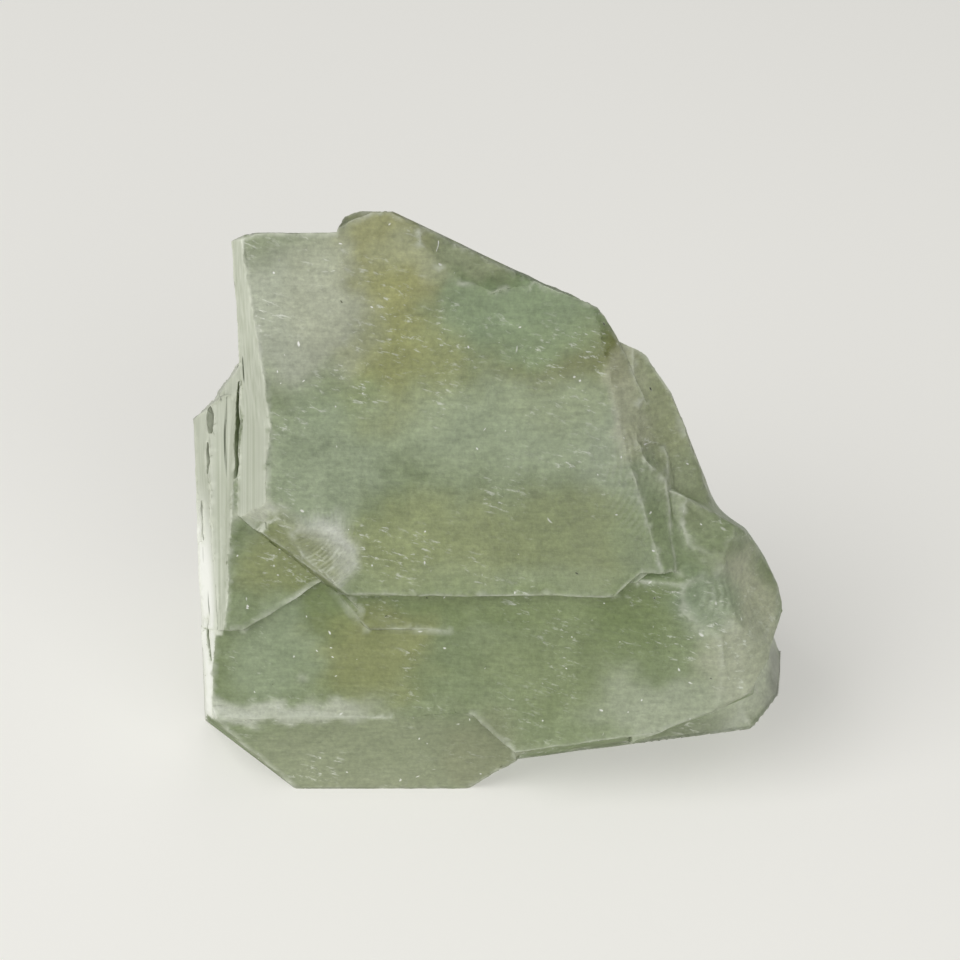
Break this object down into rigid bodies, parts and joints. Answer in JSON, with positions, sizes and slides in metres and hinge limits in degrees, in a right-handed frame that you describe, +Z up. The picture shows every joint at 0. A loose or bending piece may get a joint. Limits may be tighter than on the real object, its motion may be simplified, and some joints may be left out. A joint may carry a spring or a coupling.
{
  "type": "apophyllite crystal specimen",
  "caption": "Natural green apophyllite specimen: see-through blocky crystals grown together in overlapping steps on a flat base, broken into shell-like curves at one end.",
  "frame": {"origin": "middle of the bounding box in plan, on the flat base that the specimen rests on", "axes": "+Z up, -Y towards the front with its big sloping crystal faces, +X along the longest side to the broken right-hand end"},
  "size_m": [0.0494, 0.0358, 0.0435],
  "materials": {
    "apophyllite": "cloudy clear green crystal, glassy faces, pearly and finely striated sides"
  },
  "bodies": {
    "root": {"crystal_group": "apophyllite"}
  },
  "joints": []
}
